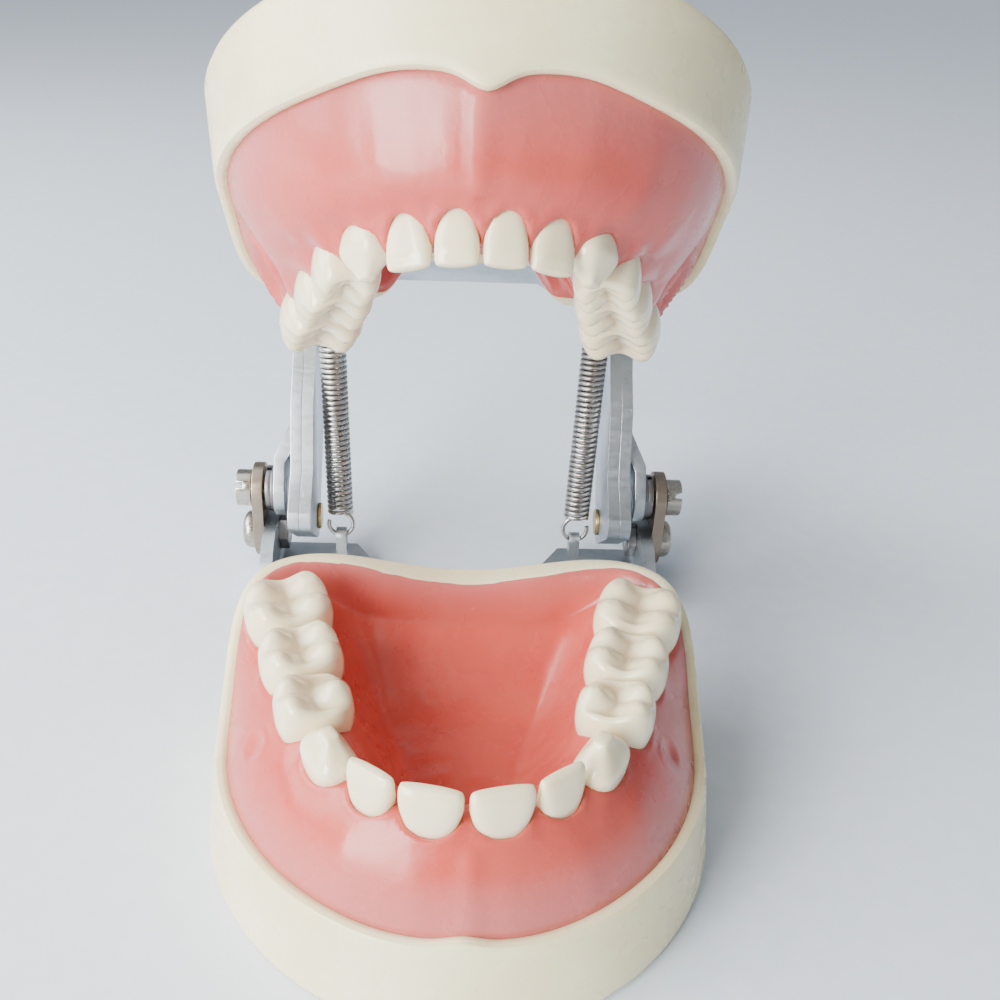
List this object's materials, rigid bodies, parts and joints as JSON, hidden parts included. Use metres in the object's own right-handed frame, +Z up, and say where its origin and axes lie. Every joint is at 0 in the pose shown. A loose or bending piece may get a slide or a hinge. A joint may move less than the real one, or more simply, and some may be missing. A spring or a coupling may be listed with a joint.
{
  "type": "typodont model",
  "caption": "Hinged pair of child's jaw models with removable teeth in soft gums, on a spring-loaded steel articulator.",
  "frame": {"origin": "middle of the underside of the standing (upper-jaw) base", "axes": "+Z up, +Y from the front teeth towards the hinge, +X to the right of someone facing the front teeth"},
  "size_m": [0.0718, 0.1163, 0.0948],
  "materials": {
    "ivory_base": "satin moulded plastic",
    "pink_gum": "glossy soft gum",
    "tooth_enamel": "polished melamine",
    "zinc_plate": "zinc plated sheet",
    "bronze_link": "tinted passivated sheet",
    "screw_steel": "nickel plated",
    "spring_steel": "bright spring wire",
    "rivet_brass": "tumbled",
    "dark_nut": "blackened"
  },
  "bodies": {
    "maxilla": {"maxilla_base": "ivory_base", "maxilla_gum": "pink_gum", "maxilla_left_central_incisor": "tooth_enamel", "maxilla_left_lateral_incisor": "tooth_enamel", "maxilla_left_canine": "tooth_enamel", "maxilla_left_first_molar": "tooth_enamel", "maxilla_left_second_molar": "tooth_enamel", "maxilla_left_permanent_molar": "tooth_enamel", "maxilla_right_central_incisor": "tooth_enamel", "maxilla_right_lateral_incisor": "tooth_enamel", "maxilla_right_canine": "tooth_enamel", "maxilla_right_first_molar": "tooth_enamel", "maxilla_right_second_molar": "tooth_enamel", "maxilla_right_permanent_molar": "tooth_enamel", "maxilla_tooth_screws": "screw_steel", "maxilla_bracket_screws": "screw_steel", "maxilla_bracket": "zinc_plate", "link_plate_left": "bronze_link", "link_screw_left": "screw_steel", "link_nut_left": "dark_nut", "link_plate_right": "bronze_link", "link_screw_right": "screw_steel", "link_nut_right": "dark_nut"},
    "mandible": {"mandible_base": "ivory_base", "mandible_gum": "pink_gum", "mandible_left_central_incisor": "tooth_enamel", "mandible_left_lateral_incisor": "tooth_enamel", "mandible_left_canine": "tooth_enamel", "mandible_left_first_molar": "tooth_enamel", "mandible_left_second_molar": "tooth_enamel", "mandible_left_permanent_molar": "tooth_enamel", "mandible_right_central_incisor": "tooth_enamel", "mandible_right_lateral_incisor": "tooth_enamel", "mandible_right_canine": "tooth_enamel", "mandible_right_first_molar": "tooth_enamel", "mandible_right_second_molar": "tooth_enamel", "mandible_right_permanent_molar": "tooth_enamel", "mandible_tooth_screws": "screw_steel", "mandible_bracket_screws": "screw_steel", "mandible_bracket": "zinc_plate", "arm_stiffener_left": "zinc_plate", "arm_rivets_left": "rivet_brass", "hinge_lug_left": "zinc_plate", "hinge_screw_left": "screw_steel", "flat_washer_left": "screw_steel", "spring_washer_left": "screw_steel", "arm_stiffener_right": "zinc_plate", "arm_rivets_right": "rivet_brass", "hinge_lug_right": "zinc_plate", "hinge_screw_right": "screw_steel", "flat_washer_right": "screw_steel", "spring_washer_right": "screw_steel"},
    "spring_left": {"spring_left": "spring_steel"},
    "spring_right": {"spring_right": "spring_steel"}
  },
  "joints": [
    {"name": "jaw_hinge", "type": "hinge", "parent": "maxilla", "child": "mandible", "pos_m": [0, 0.0619, 0.0137], "axis": [1, 0, 0], "range_deg": [0, 35]},
    {"name": "spring_left_pivot", "type": "hinge", "parent": "maxilla", "child": "spring_left", "pos_m": [-0.0195, 0.06311, 0.00448], "axis": [1, 0, 0], "range_deg": [0, 28]},
    {"name": "spring_right_pivot", "type": "hinge", "parent": "maxilla", "child": "spring_right", "pos_m": [0.0195, 0.06311, 0.00448], "axis": [1, 0, 0], "range_deg": [0, 28]}
  ],
  "couplings": [
    {"joint": "spring_left_pivot", "follows": "jaw_hinge", "ratio": 0.7872},
    {"joint": "spring_right_pivot", "follows": "jaw_hinge", "ratio": 0.7872}
  ]
}
